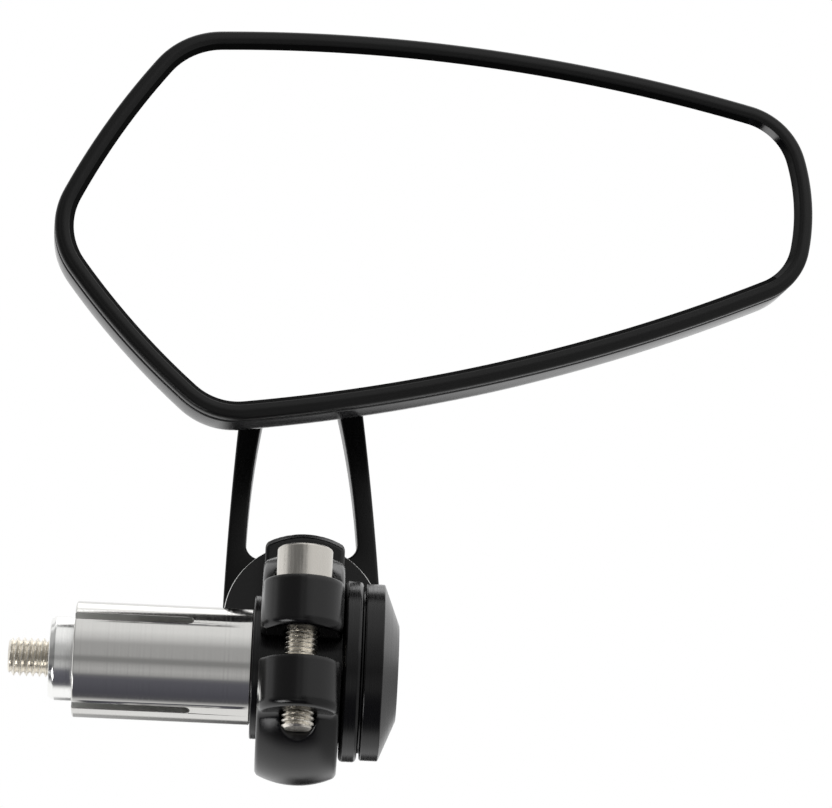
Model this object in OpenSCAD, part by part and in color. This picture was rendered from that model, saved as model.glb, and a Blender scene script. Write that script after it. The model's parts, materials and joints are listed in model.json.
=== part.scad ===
// Bar end mirror for a handlebar tube, right-hand side, in millimetres.
// X runs along the handlebar and points outboard, Y points away from the rider, Z points up.
// The origin lies on the bar axis, where the bar's end meets the hub.

/* [Expanding insert] */
// Outer diameter of the slotted collet
collet_d = 18; // [16:0.1:20]
// Length of the collet inside the bar
collet_len = 27.5; // [24:0.5:40]
// Width of the two crossing saw cuts
slot_w = 1.5; // [0.8:0.1:2.4]
// Length of a cut from the open end to the middle of its round end
slot_len = 17.5; // [12:0.5:20]
// Angle of the first cut, from the rider's side upwards
slot_turn = 35.5; // [0:0.5:90]
// Angle between the two cuts
slot_cross = 79; // [70:1:90]
// Diameter of the collet's shoulder that seats in the hub
seat_d = 17; // [16:0.1:17.5]
// Depth of the seat in the hub's face
seat_deep = 0.5; // [0.3:0.1:1]
// Diameter of the expander cone's straight head
cone_d = 13; // [11:0.1:14]
// Length of the straight head that stands out of the collet
cone_head_len = 3.4; // [2:0.1:6]
// Length of the tapered part inside the collet
cone_taper_len = 10; // [8:0.5:14]
// Diameter at the small end of the taper
cone_tip_d = 10.6; // [9:0.1:10.8]
// Thread diameter of the long bolt
bolt_d = 6; // [5:0.5:6]
// Length of bolt that stands out past the cone
bolt_stick_out = 6.4; // [3:0.1:12]
// Diameter of the bolt's low head
bolt_head_d = 10; // [9:0.5:10]
// Height of the bolt's low head
bolt_head_h = 3.8; // [3:0.1:4]
// Hexagon socket of the bolt, across flats
bolt_hex = 4; // [3:0.5:5]
// Thickness of the washer under the bolt's head
bolt_washer_t = 0.8; // [0.5:0.1:1]
// Outer diameter of that washer
bolt_washer_d = 10.4; // [9:0.1:10.4]

/* [Hub and end cap] */
// Diameter of the neck that the clamp grips
neck_d = 22.2; // [21:0.1:23]
// Length of the neck
neck_len = 13.9; // [13.9:0.1:18]
// Diameter of the hub's outer flange
flange_d = 28; // [26:0.1:28.4]
// Thickness of the flange
flange_t = 2.8; // [2:0.1:4]
// Diameter of the spigot that centres the collet
spigot_d = 11.6; // [9:0.1:12]
// Length of that spigot
spigot_len = 3; // [2:0.1:5]
// Diameter of the end cap's disc
cap_d = 27.4; // [26:0.1:28]
// Thickness of the end cap's disc
cap_t = 2.9; // [2:0.1:5]
// Length of the end cap's cone
cap_cone_len = 2.5; // [2:0.1:5]
// Diameter of the flat at the cap's outer end
cap_flat_d = 14.8; // [13:0.1:22]
// Width of the groove between flange and cap
groove_w = 0.4; // [0.2:0.1:1]
// Depth of that groove below the cap's rim
groove_deep = 1.1; // [0.5:0.1:2]
// Small edge rounding of the turned parts
edge_r = 0.4; // [0.2:0.1:0.8]

/* [Clamp] */
// Width of the clamp along the bar
clamp_w = 12.6; // [11:0.1:12.8]
// Largest outer radius of the clamp ring
ring_r = 18; // [16:0.1:19]
// Radius of the crown across the ring's width
crown_r = 13.5; // [10:0.5:40]
// Distance from the bar axis to the clamp screw
screw_out = 14.4; // [14.2:0.1:16]
// Height from the slit's middle to each spot face
ear_h = 10.2; // [9:0.1:13]
// Width of the slit between the ears
slit_w = 4.6; // [1:0.1:5]
// Radius of the spot face around the screw head
spot_r = 4.9; // [4.5:0.1:6]
// Radius of the scallop around the screw's tip
scallop_r = 2.8; // [2.8:0.1:4.5]
// Thread diameter of the clamp screw
screw_d = 5; // [4:0.5:5]
// Length of the clamp screw's shank
screw_len = 22.8; // [20:0.1:27]
// Head diameter of the clamp screw
screw_head_d = 8.5; // [7:0.1:9]
// Head height of the clamp screw
screw_head_h = 5.3; // [4:0.1:6]
// Hexagon socket of the clamp screw, across flats
screw_hex = 4; // [2.5:0.5:4]

/* [Arm pivot] */
// Height of the arm's pivot above the bar axis
pivot_up = 11.5; // [11:0.1:13]
// Radius of the pivot boss and the friction disc
boss_r = 12.5; // [11:0.1:13]
// Distance from the bar axis to the boss's front face
boss_front = 8; // [4:0.1:9]
// Distance from the bar axis to the boss's rear face
boss_back = 14.8; // [14.6:0.1:18]
// Thickness of the friction disc
disc_t = 1.8; // [1:0.1:3]
// Thread diameter of the pivot screw
pivot_d = 6; // [5:0.5:6]
// Wall left between the pivot screw's hole and the clamp's bore
pivot_floor = 1; // [0.5:0.1:2]
// Head diameter of the pivot screw
pivot_head_d = 10; // [9:0.5:11]
// Head height of the pivot screw
pivot_head_h = 3.2; // [2.5:0.1:3.4]
// Hexagon socket of the pivot screw, across flats
pivot_hex = 4; // [3:0.5:5]
// Thickness of the washer under the pivot screw's head
pivot_washer_t = 1; // [0.6:0.1:1.2]
// Outer diameter of that washer
pivot_washer_d = 10.4; // [10:0.1:11]

/* [Arm] */
// Thickness of the arm
arm_t = 6.5; // [5.5:0.1:8]
// Distance from the pivot to the ball stud
arm_len = 55; // [48:0.5:70]
// Radius of the arm's foot around the pivot
foot_r = 12.7; // [11:0.1:13]
// Radius of the arm's top end
arm_top_r = 7.3; // [7:0.1:10]
// Bulge radius of the arm's long sides
arm_side_r = 600; // [300:10:2000]
// Lean of the arm in the stored pose, inboard
arm_lean = 2.7; // [0:0.1:10]
// Distance from the pivot to the window's lower edge
window_low = 10.5; // [9:0.5:14]
// Half width of the window near its lower edge
window_half_low = 8.9; // [7:0.1:9.4]
// Corner radius at the window's lower edge
window_low_r = 2.4; // [1:0.1:4]
// Half width of the window near its upper edge
window_half_top = 5; // [4.4:0.1:5.6]
// Corner radius at the window's upper edge
window_top_r = 4.4; // [2:0.1:4.8]
// Material between the window and the stud's middle
window_top_gap = 11.5; // [10:0.5:16]
// Bulge radius of the window's long sides
window_side_r = 150; // [100:10:600]

/* [Ball joint] */
// Diameter of the ball
ball_d = 12; // [10:0.1:13]
// Distance from the bar axis to the ball's middle, away from the rider
ball_back = 5; // [2:0.1:5.4]
// Diameter of the neck behind the ball
stud_neck_d = 6; // [5:0.1:6]
// Diameter of the stud's collar
collar_d = 10; // [9:0.1:12]
// Thickness of the stud's collar
collar_t = 1.5; // [1:0.1:2]
// Thread diameter of the stud
stud_d = 6; // [5:0.5:6]
// Thickness of the washer behind the arm
stud_washer_t = 1.2; // [0.8:0.1:2]
// Outer diameter of that washer
stud_washer_d = 12; // [11:0.1:14]
// Height of the nut
nut_h = 5; // [4:0.1:6]
// Nut size across flats
nut_flats = 10; // [10:0.1:11]
// Thread that stands out past the nut
nut_proud = 1.2; // [0.4:0.1:3]
// Wall of the split liner around the ball
liner_t = 1.35; // [1:0.05:2]
// Half angle of the liner's opening for the neck
liner_open = 48; // [42:1:55]
// Half angle of the cup's opening for the neck
cup_open = 53; // [50:1:58]
// Wall of the cup around the liner
cup_wall = 3; // [2:0.1:5]
// Distance from the ball's middle to the joint face of cup and retainer
cup_split = 5; // [4:0.1:5.5]
// Thickness of the cup's flange
cup_flange_t = 2.4; // [1.5:0.1:3]
// Distance from the retainer screws to the edge of the retainer plate
retainer_edge = 3; // [2.9:0.1:4]
// Radius of the circle of retainer screws
retainer_pitch_r = 14; // [13.5:0.1:14.2]
// Thread diameter of the retainer screws
retainer_screw_d = 2.5; // [2:0.1:2.6]
// Shank length of the retainer screws
retainer_screw_len = 8; // [6:0.5:9]
// Radius of the bosses that take these screws
screw_boss_r = 2.8; // [2.4:0.1:3]

/* [Mirror head] */
// Turn of the head in the stored pose, facing outboard
head_pan = 7; // [0:0.5:12]
// Distance from the ball's middle to the rim's crest
head_front = 13; // [12.5:0.1:16]
// Inboard tip of the head, corner middle from the ball
tip_at = [-28.1, 0.9];
// Corner radius at the inboard tip
tip_r = 12.7; // [10:0.1:15]
// Upper inboard corner, corner middle from the ball
top_in_at = [-14.8, 20.8];
// Corner radius at the upper inboard corner
top_in_r = 14.2; // [11:0.1:17]
// Upper outboard corner, corner middle from the ball
top_out_at = [68, 19];
// Corner radius at the upper outboard corner
top_out_r = 11.8; // [9:0.1:13]
// Lower outboard corner, corner middle from the ball
low_out_at = [69.3, 8.4];
// Corner radius at the lower outboard corner
low_out_r = 11.1; // [9:0.1:13]
// Lower inboard corner, corner middle from the ball
low_in_at = [-11.3, -16.7];
// Corner radius at the lower inboard corner
low_in_r = 12.4; // [10:0.1:15]
// Bulge radius of the edge from the tip to the upper corner
tip_edge_r = 126; // [80:1:600]
// Bulge radius of the top edge
top_edge_r = 281; // [200:1:900]
// Bulge radius of the outboard end
end_edge_r = 35; // [25:1:200]
// Bulge radius of the lower edge
low_edge_r = 307; // [150:1:900]
// Bulge radius of the edge from the lower corner to the tip
low_tip_edge_r = 123; // [70:1:400]
// Width of the rim seen from the front, with its inner lip
rim_w = 3; // [2.4:0.1:4]
// Width of the sloping inner lip
lip_w = 0.7; // [0.3:0.1:1]
// Depth of the glass below the rim's crest
glass_in = 1; // [0.6:0.1:1.6]
// Depth of the bezel from crest to joint line
bezel_h = 2.8; // [2.8:0.1:3.2]
// Rounding of the bezel's crest
crest_r = 0.8; // [0.4:0.1:1]
// Thickness of the glass
glass_t = 2; // [1.5:0.1:2.2]
// Overlap of the lip on the glass
glass_lap = 0.5; // [0.3:0.1:1]
// Thickness of the foam pad behind the glass
pad_t = 1; // [0.5:0.1:2]
// Radius of the foam pad
pad_r = 16; // [10:0.5:17]
// Step from the bezel down to the housing
shell_step = 0.1; // [0.1:0.1:0.5]
// Depth of the housing's straight side wall
side_h = 3.5; // [3:0.1:6]
// Draft of the side wall over its depth
side_draft = 0.1; // [0.1:0.1:0.6]
// Distance from the ball's middle to the top of the domed back
dome_back = 6.8; // [6.6:0.1:8]
// Wall of the housing
shell_t = 1.8; // [1.4:0.1:1.8]
// Glue line between the socket cup and the housing's floor
glue_t = 0.3; // [0.2:0.05:0.5]
// Radius of the hole for the stud's neck in the housing
neck_hole_r = 7; // [6.5:0.1:8]

/* [Fits] */
// Radial clearance of what turns on a pin or in a seat
run_fit = 0.05; // [0.02:0.01:0.1]
// Radial clearance of a screw in its thread
thread_fit = 0.05; // [0.02:0.01:0.1]
// Radial clearance of a screw or bolt in a plain hole
hole_fit = 0.25; // [0.1:0.05:0.3]
// Radial clearance of the clamp bore around the neck
clamp_fit = 0.1; // [0.05:0.01:0.1]
// Side clearance of glass, pads and washers in their pockets
loose_fit = 0.1; // [0.05:0.05:0.2]

/* [Hidden] */
fine = 96;
small = 48;
cut = 0.5;
corner_steps = 8;
edge_steps = 12;
dome_steps = 9;
socket_deep = 0.55;
chamfer = 0.5;
rotate_to_hex = 30;

black = [0.07, 0.07, 0.075];
polished = [0.80, 0.80, 0.82];
steel = [0.66, 0.65, 0.62];

// Places along the bar axis
flange_x = neck_len;
cap_x = flange_x + flange_t;
disc_x = cap_x + groove_w;
cap_end_x = disc_x + cap_t + cap_cone_len;
bolt_seat_x = cap_end_x - bolt_head_h - bolt_washer_t;
cone_x = -collet_len - groove_w;
bolt_tip_x = cone_x - cone_head_len - bolt_stick_out;
clamp_x = neck_len / 2 + (neck_len - clamp_w) / 3;

// Places across the clamp and the arm
bore_r = neck_d / 2 + clamp_fit;
pivot_tip_y = sqrt(pow(bore_r + pivot_floor, 2) - pow(pivot_up - pivot_d / 2, 2));
arm_y = boss_back + disc_t;
arm_back_y = arm_y + arm_t;
pivot_seat_y = arm_back_y - pivot_head_h - pivot_washer_t;
retainer_r = retainer_pitch_r + retainer_edge;
pivot = [clamp_x, 0, pivot_up];
ball = pivot + [-sin(arm_lean) * arm_len, ball_back, cos(arm_lean) * arm_len];
nut_y = arm_back_y + stud_washer_t;

// Radii around the ball
ball_r = ball_d / 2;
liner_in_r = ball_r + run_fit;
liner_r = liner_in_r + liner_t;
cup_in_r = liner_r + run_fit;
cup_r = cup_in_r + cup_wall;

// Depths in the head, measured backwards from the ball's middle
glass_y = glass_in - head_front;
glass_back_y = glass_y + glass_t;
seam_y = bezel_h - head_front;
pad_back_y = glass_back_y + pad_t;
wall_y = seam_y + side_h;
dome_h = dome_back - wall_y;
cup_back_y = dome_back - shell_t - glue_t;
screw_tip_y = pad_back_y + retainer_screw_d / 2 + loose_fit + retainer_screw_len;
screw_boss_y = screw_tip_y + glue_t;

corners = [tip_at, top_in_at, top_out_at, low_out_at, low_in_at];
corner_radii = [tip_r, top_in_r, top_out_r, low_out_r, low_in_r];
edge_radii = [tip_edge_r, top_edge_r, end_edge_r, low_edge_r, low_tip_edge_r];

arm_corners = [[0, 0], [0, arm_len]];
arm_radii = [foot_r, arm_top_r];
arm_edges = [arm_side_r, arm_side_r];
window_top = arm_len - window_top_gap;
window_half_l = window_half_low - window_low_r;
window_half_t = window_half_top - window_top_r;
window_corners = [
  [-window_half_l, window_low + window_low_r], [-window_half_t, window_top - window_top_r],
  [window_half_t, window_top - window_top_r], [window_half_l, window_low + window_low_r]
];
window_radii = [window_low_r, window_top_r, window_top_r, window_low_r];
window_flat_r = 400;
window_edges = [window_side_r, window_flat_r, window_side_r, window_flat_r];

// A unit vector at an angle, and the angle of a vector
function way(a) = [cos(a), sin(a)];
function angle_of(v) = atan2(v[1], v[0]);

// The angle b, brought to less than a full turn below a
function below(a, b) = a - ((((a - b) % 360) + 360) % 360);

// The point at distance a from p and b from q, on the right of the way from p to q
function meet(p, q, a, b) =
  let (d = norm(q - p), u = (q - p) / d, m = (a * a - b * b + d * d) / (2 * d))
  p + u * m + [u[1], -u[0]] * sqrt(a * a - m * m);

// Points of an arc around c, clockwise from angle a to angle b, without its last point
function arc(c, r, a, b, steps) =
  [for (k = [0 : steps - 1]) c + r * way(a + (b - a) * k / steps)];

// A closed convex outline of tangent arcs, moved inwards by inset.
// Each corner arc has its own radius, and so has the bulged edge that follows it.
function outline(c, r, e, inset) =
  let (
    n = len(c),
    m = [for (i = [0 : n - 1]) let (j = (i + 1) % n) meet(c[i], c[j], e[i] - r[i], e[i] - r[j])]
  )
  [for (i = [0 : n - 1])
    let (
      j = (i + 1) % n,
      a = angle_of(c[i] - m[(i + n - 1) % n]),
      b = below(a, angle_of(c[i] - m[i])),
      f = below(b, angle_of(c[j] - m[i]))
    )
    each concat(
      arc(c[i], r[i] - inset, a, b, corner_steps),
      arc(m[i], e[i] - inset, b, f, edge_steps)
    )
  ];

function head_outline(inset) = outline(corners, corner_radii, edge_radii, inset);
head_rim = head_outline(0);
head_ways = [for (p = head_rim) angle_of(p)];

// One ring of the head at depth y: the outline, drawn in towards the neck hole by share
function head_ring(share, inset, y) =
  let (o = head_outline(inset))
  [for (i = [0 : len(o) - 1])
    let (p = (1 - share) * o[i] + share * neck_hole_r * way(head_ways[i]))
    [p[0], y, p[1]]
  ];

// A closed skin over rings that follow each other around a section
module ring_skin(rings) {
  n = len(rings[0]);
  k = len(rings);
  points = [for (ring = rings) each ring];
  faces = [
    for (i = [0 : k - 1], j = [0 : n - 1])
      let (
        a = i * n + j,
        b = i * n + (j + 1) % n,
        c = ((i + 1) % k) * n + (j + 1) % n,
        d = ((i + 1) % k) * n + j
      )
      each [[a, b, c], [a, c, d]]
  ];
  polyhedron(points, faces, convexity = 8);
}

// A turned solid along X, from points of radius and place
module turned_x(points, facets = fine) {
  rotate([0, 90, 0]) rotate_extrude($fn = facets) polygon(points);
}

// A turned solid along Y, from points of radius and place
module turned_y(points, facets = fine) {
  rotate([-90, 0, 0]) rotate_extrude($fn = facets) polygon(points);
}

// A straight pin along X
module pin_x(r, from, to, facets = fine) {
  translate([from, 0, 0]) rotate([0, 90, 0]) cylinder(r = r, h = to - from, $fn = facets);
}

// A straight pin along Y
module pin_y(r, from, to, facets = fine) {
  translate([0, from, 0]) rotate([-90, 0, 0]) cylinder(r = r, h = to - from, $fn = facets);
}

// A slab between two depths along Y, drawn in X and Z
module slab_y(from, to) {
  translate([0, to, 0]) rotate([90, 0, 0]) linear_extrude(to - from) children();
}

// A hexagon socket along Z, cut down from z = 0
module hex_socket(flats, deep) {
  translate([0, 0, -deep]) rotate([0, 0, rotate_to_hex])
    cylinder(r = flats / 2 / cos(180 / 6), h = deep + cut, $fn = 6);
}

// A washer along Z, standing on z = 0
module washer(inner_r, outer_r, t) {
  difference() {
    cylinder(r = outer_r, h = t, $fn = small);
    translate([0, 0, -cut]) cylinder(r = inner_r, h = t + 2 * cut, $fn = small);
  }
}

// A socket screw along Z: its shank hangs below z = 0 and its head stands on it
module socket_screw(d, shank, head_d, head_h, hex) {
  difference() {
    union() {
      translate([0, 0, -shank]) cylinder(r1 = d / 2 - chamfer, r2 = d / 2, h = chamfer, $fn = small);
      translate([0, 0, chamfer - shank]) cylinder(r = d / 2, h = shank - chamfer, $fn = small);
      cylinder(r = head_d / 2, h = head_h - chamfer / 2, $fn = small);
      translate([0, 0, head_h - chamfer / 2])
        cylinder(r1 = head_d / 2, r2 = head_d / 2 - chamfer / 2, h = chamfer / 2, $fn = small);
    }
    translate([0, 0, head_h]) hex_socket(hex, head_h * socket_deep);
  }
}

// The taper shared by the cone and the collet's mouth: its radius at x, plus a clearance
function taper_r(x, fit) =
  let (share = (x - cone_x) / cone_taper_len)
  cone_d / 2 + (cone_tip_d - cone_d) / 2 * share + fit;

// Slotted aluminium collet that grips the inside of the bar
module collet() {
  mouth_end = cone_x + cone_taper_len;
  color(polished) difference() {
    turned_x([
      [taper_r(-collet_len, loose_fit), -collet_len],
      [collet_d / 2 - edge_r / 2, -collet_len],
      [collet_d / 2, -collet_len + edge_r / 2],
      [collet_d / 2, -edge_r / 2],
      [seat_d / 2, 0],
      [seat_d / 2, seat_deep],
      [spigot_d / 2 + loose_fit / 2, seat_deep],
      [spigot_d / 2 + loose_fit / 2, -spigot_len - loose_fit],
      [taper_r(mouth_end, loose_fit), -spigot_len - loose_fit],
      [taper_r(mouth_end, loose_fit), mouth_end]
    ]);
    for (a = [slot_turn, slot_turn + slot_cross], half = [0, 180]) rotate([-a - half, 0, 0]) {
      translate([-collet_len - cut, -collet_d, -slot_w / 2]) cube([slot_len + cut, collet_d, slot_w]);
      translate([-collet_len + slot_len, 0, 0]) rotate([90, 0, 0])
        cylinder(r = slot_w / 2, h = collet_d, $fn = small);
    }
  }
}

// Tapered nut that spreads the collet when the bolt is tightened
module expander_cone() {
  color(polished) turned_x([
    [bolt_d / 2 + thread_fit, cone_x - cone_head_len],
    [cone_d / 2 - edge_r, cone_x - cone_head_len],
    [cone_d / 2, cone_x - cone_head_len + edge_r * 2],
    [cone_d / 2, cone_x],
    [cone_tip_d / 2, cone_x + cone_taper_len],
    [bolt_d / 2 + thread_fit, cone_x + cone_taper_len]
  ]);
}

// Long bolt from the end cap to the cone
module expander_bolt() {
  seat = bolt_seat_x + bolt_washer_t;
  color(steel) translate([seat, 0, 0]) rotate([0, 90, 0])
    socket_screw(bolt_d, seat - bolt_tip_x, bolt_head_d, bolt_head_h, bolt_hex);
}

module bolt_washer() {
  color(steel) translate([bolt_seat_x, 0, 0]) rotate([0, 90, 0])
    washer(bolt_d / 2 + hole_fit, bolt_washer_d / 2, bolt_washer_t);
}

// Turned hub: spigot, neck for the clamp and outer flange
module hub_spool() {
  color(black) turned_x([
    [bolt_d / 2 + hole_fit, -spigot_len],
    [spigot_d / 2, -spigot_len],
    [spigot_d / 2, seat_deep],
    [collet_d / 2 + loose_fit, seat_deep],
    [collet_d / 2 + loose_fit, 0],
    [neck_d / 2, 0],
    [neck_d / 2, flange_x],
    [flange_d / 2 - edge_r, flange_x],
    [flange_d / 2, flange_x + edge_r],
    [flange_d / 2, cap_x - edge_r],
    [flange_d / 2 - edge_r, cap_x],
    [bolt_d / 2 + hole_fit, cap_x]
  ]);
}

// Turned end cap with a conical face and a counterbore for the bolt's head
module end_cap() {
  color(black) turned_x([
    [bolt_d / 2 + hole_fit, cap_x],
    [cap_d / 2 - groove_deep, cap_x],
    [cap_d / 2 - groove_deep, disc_x],
    [cap_d / 2 - edge_r / 2, disc_x],
    [cap_d / 2, disc_x + edge_r / 2],
    [cap_d / 2, disc_x + cap_t],
    [cap_flat_d / 2, cap_end_x],
    [bolt_washer_d / 2 + loose_fit, cap_end_x],
    [bolt_washer_d / 2 + loose_fit, bolt_seat_x],
    [bolt_d / 2 + hole_fit, bolt_seat_x]
  ]);
}

// The crowned ring, solid through its bore
module ring_blank() {
  translate([clamp_x, 0, 0]) intersection() {
    rotate([0, 90, 0]) rotate_extrude($fn = fine) intersection() {
      translate([ring_r - crown_r, 0]) circle(r = crown_r, $fn = fine);
      translate([0, -clamp_w / 2]) square([ring_r + cut, clamp_w]);
    }
    translate([-clamp_w / 2, -ring_r - cut, -ring_r - cut])
      cube([clamp_w, 2 * (ring_r + cut), 2 * (ring_r + cut)]);
  }
  pin_x(ring_r - crown_r + cut, clamp_x - clamp_w / 2, clamp_x + clamp_w / 2);
}

// Both ears as one block with a round front, before the slit is sawn
module ear_blank() {
  translate([clamp_x, -screw_out, -ear_h]) cylinder(r = clamp_w / 2, h = 2 * ear_h, $fn = fine);
  translate([clamp_x - clamp_w / 2, -screw_out, -ear_h]) cube([clamp_w, screw_out, 2 * ear_h]);
}

// The round pivot boss at the back, as wide as the clamp
module boss_blank() {
  intersection() {
    translate([clamp_x, 0, pivot_up]) pin_y(boss_r, boss_front, boss_back);
    translate([clamp_x - clamp_w / 2, 0, pivot_up - boss_r - cut])
      cube([clamp_w, boss_back + cut, 2 * (boss_r + cut)]);
  }
}

// Split clamp that turns on the hub's neck, flat at the back for the friction disc
module clamp_ring() {
  color(black) difference() {
    union() {
      ring_blank();
      ear_blank();
      boss_blank();
    }
    pin_x(bore_r, clamp_x - clamp_w, clamp_x + clamp_w);
    translate([clamp_x - clamp_w, boss_back, -ring_r * 2]) cube([clamp_w * 2, ring_r, ring_r * 4]);
    translate([clamp_x - clamp_w, -ring_r * 2, -slit_w / 2]) cube([clamp_w * 2, ring_r * 2, slit_w]);
    translate([clamp_x, -screw_out, 0]) {
      cylinder(r = screw_d / 2 + hole_fit, h = ring_r, $fn = small);
      translate([0, 0, -ring_r]) cylinder(r = screw_d / 2 + thread_fit, h = ring_r, $fn = small);
      translate([0, 0, ear_h]) cylinder(r = spot_r, h = ring_r, $fn = small);
      translate([0, 0, -ear_h - ring_r]) cylinder(r = scallop_r, h = ring_r, $fn = small);
    }
    translate([clamp_x, 0, pivot_up]) pin_y(pivot_d / 2 + thread_fit, pivot_tip_y, boss_back + cut, small);
  }
}

module clamp_screw() {
  color(steel) translate([clamp_x, -screw_out, ear_h])
    socket_screw(screw_d, screw_len, screw_head_d, screw_head_h, screw_hex);
}

// Friction disc between the clamp and the arm
module friction_disc() {
  color(black) translate([clamp_x, boss_back, pivot_up]) rotate([-90, 0, 0])
    washer(pivot_d / 2 + hole_fit, boss_r, disc_t);
}

// Screw that the arm turns on, put in from behind
module pivot_screw() {
  seat = pivot_seat_y + pivot_washer_t;
  color(steel) translate([clamp_x, seat, pivot_up]) rotate([-90, 0, 0])
    socket_screw(pivot_d, seat - pivot_tip_y - loose_fit, pivot_head_d, pivot_head_h, pivot_hex);
}

module pivot_washer() {
  color(steel) translate([clamp_x, pivot_seat_y, pivot_up]) rotate([-90, 0, 0])
    washer(pivot_d / 2 + hole_fit, pivot_washer_d / 2, pivot_washer_t);
}

// What belongs to the arm, put at the pivot and leaned
module at_arm() {
  translate(pivot) rotate([0, -arm_lean, 0]) children();
}

// Flat arm with a tall window, milled from plate
module arm_fork() {
  color(black) at_arm() difference() {
    slab_y(arm_y, arm_back_y) polygon(outline(arm_corners, arm_radii, arm_edges, 0));
    slab_y(arm_y - cut, arm_back_y + cut)
      polygon(outline(window_corners, window_radii, window_edges, 0));
    pin_y(pivot_d / 2 + run_fit, arm_y - cut, arm_back_y + cut, small);
    pin_y(pivot_washer_d / 2 + loose_fit, pivot_seat_y, arm_back_y + cut, small);
    translate([0, 0, arm_len]) pin_y(stud_d / 2 + run_fit, arm_y - cut, arm_back_y + cut, small);
  }
}

// Ball, neck, collar and threaded shank in one
module ball_stud() {
  color(steel) translate([ball[0], 0, ball[2]]) {
    translate([0, ball_back, 0]) sphere(r = ball_r, $fn = fine);
    pin_y(stud_neck_d / 2, ball_back, arm_y - collar_t, small);
    pin_y(collar_d / 2, arm_y - collar_t, arm_y, small);
    pin_y(stud_d / 2, arm_y - cut, nut_y + nut_h + nut_proud, small);
  }
}

module stud_washer() {
  color(steel) translate([ball[0], arm_back_y, ball[2]]) rotate([-90, 0, 0])
    washer(stud_d / 2 + hole_fit, stud_washer_d / 2, stud_washer_t);
}

module stud_nut() {
  color(steel) translate([ball[0], nut_y, ball[2]]) rotate([-90, 0, 0]) difference() {
    cylinder(r = nut_flats / 2 / cos(180 / 6), h = nut_h, $fn = 6);
    translate([0, 0, -cut]) cylinder(r = stud_d / 2 + thread_fit, h = nut_h + 2 * cut, $fn = small);
  }
}

// What belongs to the head, put at the ball and turned
module at_head() {
  translate(ball) rotate([0, 0, head_pan]) children();
}

// A round section to be turned along Y: half a disc, less a wedge that opens backwards
module open_disc(r, half_angle) {
  reach = 2 * r;
  difference() {
    intersection() {
      circle(r = r, $fn = fine);
      translate([0, -reach]) square([reach, 2 * reach]);
    }
    polygon([[0, 0], [reach * sin(half_angle), reach * cos(half_angle)], [0, reach]]);
  }
}

// Plastic liner between ball and cup, open at the back for the neck
module ball_liner() {
  color([0.85, 0.84, 0.80]) translate(ball) rotate([-90, 0, 0]) rotate_extrude($fn = fine)
    difference() {
      open_disc(liner_r, liner_open);
      circle(r = liner_in_r, $fn = fine);
    }
}

// Where the retainer screws stand around the ball
module at_retainer_screws() {
  for (k = [0 : 2]) rotate([0, 90 + k * 120, 0]) translate([retainer_pitch_r, 0, 0]) children();
}

// Cup that carries the liner from behind, with a flange and bosses for the screws
module socket_cup() {
  mouth_r = cup_in_r * sin(cup_open);
  color([0.2, 0.2, 0.2]) at_head() difference() {
    union() {
      rotate([-90, 0, 0]) rotate_extrude($fn = fine) difference() {
        union() {
          translate([0, -cup_split]) square([cup_r, cup_split + cup_back_y]);
          translate([0, -cup_split]) square([retainer_r, cup_flange_t]);
        }
        circle(r = cup_in_r, $fn = fine);
        translate([0, -cup_split - cut]) square([mouth_r, cup_split + cup_back_y + 2 * cut]);
      }
      at_retainer_screws() pin_y(screw_boss_r, -cup_split, screw_boss_y, small);
    }
    at_retainer_screws()
      pin_y(retainer_screw_d / 2 + thread_fit, -cup_split - cut, screw_boss_y + cut, small);
  }
}

// Plate that holds the liner in the cup from the front
module socket_retainer() {
  sink_h = retainer_screw_d / 2;
  color([0.2, 0.2, 0.2]) at_head() difference() {
    pin_y(retainer_r, pad_back_y, -cup_split);
    sphere(r = cup_in_r, $fn = fine);
    at_retainer_screws() {
      pin_y(retainer_screw_d / 2 + hole_fit, pad_back_y - cut, -cup_split + cut, small);
      pin_y(retainer_screw_d + loose_fit, pad_back_y - cut, pad_back_y + sink_h + loose_fit, small);
    }
  }
}

// Three cheese-head screws that hold the retainer to the cup
module retainer_screws() {
  sink_h = retainer_screw_d / 2;
  seat = pad_back_y + sink_h + loose_fit;
  color(steel) at_head() at_retainer_screws() difference() {
    union() {
      pin_y(retainer_screw_d, seat - sink_h, seat, small);
      pin_y(retainer_screw_d / 2, seat, seat + retainer_screw_len, small);
    }
    translate([-retainer_screw_d, seat - sink_h - cut, -retainer_screw_d / 8])
      cube([retainer_screw_d * 2, cut + sink_h / 2, retainer_screw_d / 4]);
  }
}

// Domed back shell, open at the front and round the neck
module housing() {
  turns = [for (k = [1 : dome_steps]) 90 * k / dome_steps];
  inner = shell_step + side_draft + shell_t;
  inner_rings = [
    head_ring(0, shell_step + shell_t, seam_y),
    head_ring(0, inner, wall_y),
    for (a = turns) head_ring(1 - cos(a), inner, wall_y + (dome_h - shell_t) * sin(a))
  ];
  outer_rings = [
    for (k = [dome_steps - 1 : -1 : 0])
      head_ring(1 - cos(turns[k]), shell_step + side_draft, wall_y + dome_h * sin(turns[k])),
    head_ring(0, shell_step + side_draft, wall_y),
    head_ring(0, shell_step, seam_y)
  ];
  color(black) at_head() ring_skin(concat(inner_rings, outer_rings));
}

// Rim around the glass: rounded crest, sloping lip and a pocket for the glass
module bezel() {
  lip_start = rim_w - lip_w;
  pocket = rim_w - glass_lap;
  section = [
    [0, seam_y],
    for (a = [0 : 18 : 90]) [crest_r * (1 - cos(a)), crest_r * (1 - sin(a)) - head_front],
    for (a = [90 : -30 : 30]) [lip_start - crest_r / 2 * (1 - cos(a)), crest_r / 2 * (1 - sin(a)) - head_front],
    [rim_w, glass_y],
    [pocket, glass_y],
    [pocket, seam_y]
  ];
  color(black) at_head() ring_skin([for (s = section) head_ring(0, s[0], s[1])]);
}

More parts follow.
